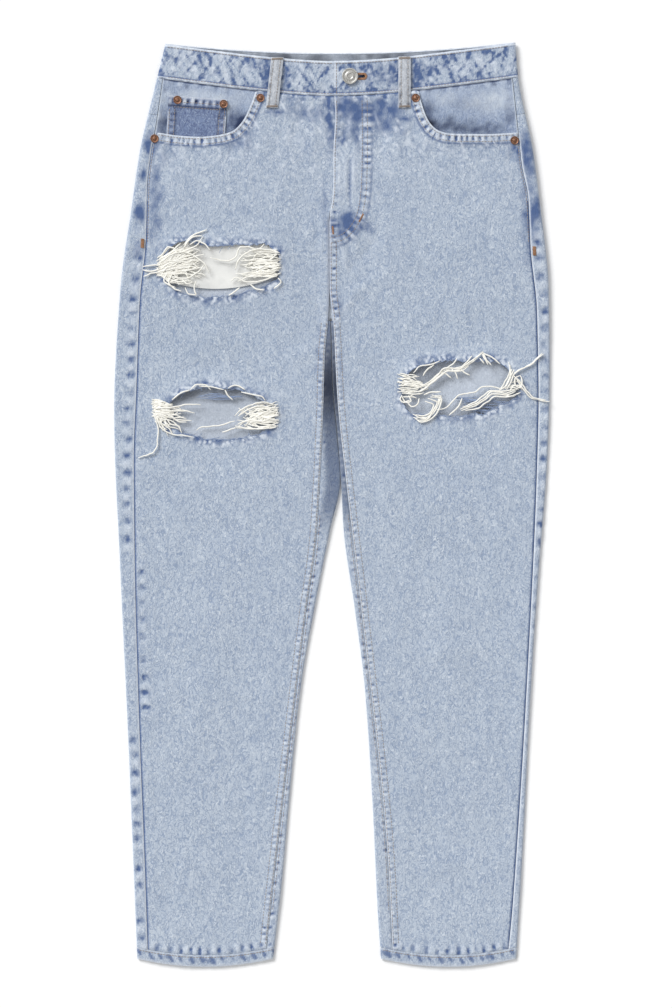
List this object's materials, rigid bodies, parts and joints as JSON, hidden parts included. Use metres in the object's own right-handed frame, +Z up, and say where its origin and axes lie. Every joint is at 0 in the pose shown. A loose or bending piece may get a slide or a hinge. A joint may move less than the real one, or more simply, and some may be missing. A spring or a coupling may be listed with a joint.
{
  "type": "ripped jeans",
  "caption": "High-waisted straight-leg ripped jeans in light acid-washed blue denim, laid flat with the front up, buttoned, with frayed rips on the thighs and above one knee.",
  "frame": {"origin": "middle of the footprint of the laid jeans, on the surface they lie on", "axes": "+Z up out of the surface, towards the front of the jeans; +Y from the hems to the waist; +X to the wearer's left"},
  "size_m": [0.462, 0.9802, 0.0119],
  "materials": {
    "washed_denim": "light acid-washed blue cotton denim, mottled, paler on raised edges",
    "dark_denim": "less washed blue cotton denim",
    "pocket_cotton": "off-white plain cotton pocketing",
    "zip_tape": "woven zip tape with its row of teeth, shown plain",
    "rivet_copper": "copper-plated, darkened in the middle",
    "button_steel": "brushed silver shank button with a raised rim",
    "frayed_threads": "loose undyed cotton threads"
  },
  "bodies": {
    "root": {"front_right": "washed_denim", "front_left": "washed_denim", "back_right": "washed_denim", "back_left": "washed_denim", "yoke_right": "washed_denim", "yoke_left": "washed_denim", "hem_right": "washed_denim", "hem_left": "washed_denim", "waistband": "washed_denim", "back_pocket_right": "washed_denim", "back_pocket_left": "washed_denim", "belt_loop_front_right": "washed_denim", "belt_loop_front_left": "washed_denim", "belt_loop_back_right": "washed_denim", "belt_loop_back_centre": "washed_denim", "belt_loop_back_left": "washed_denim", "pocket_facing_right": "dark_denim", "pocket_facing_left": "dark_denim", "coin_pocket": "dark_denim", "fly_shield": "dark_denim", "pocket_bag_right": "pocket_cotton", "pocket_bag_left": "pocket_cotton", "fly_zip": "zip_tape", "rivet_right_centre": "rivet_copper", "rivet_right_side": "rivet_copper", "rivet_coin_inner": "rivet_copper", "rivet_coin_outer": "rivet_copper", "rivet_left_centre": "rivet_copper", "rivet_left_side": "rivet_copper", "button": "button_steel", "fray_thigh_outer": "frayed_threads", "fray_thigh_inner": "frayed_threads", "fray_knee_outer": "frayed_threads", "fray_knee_inner": "frayed_threads", "fray_left_inner": "frayed_threads", "fray_left_middle": "frayed_threads", "fray_left_outer": "frayed_threads"}
  },
  "joints": []
}
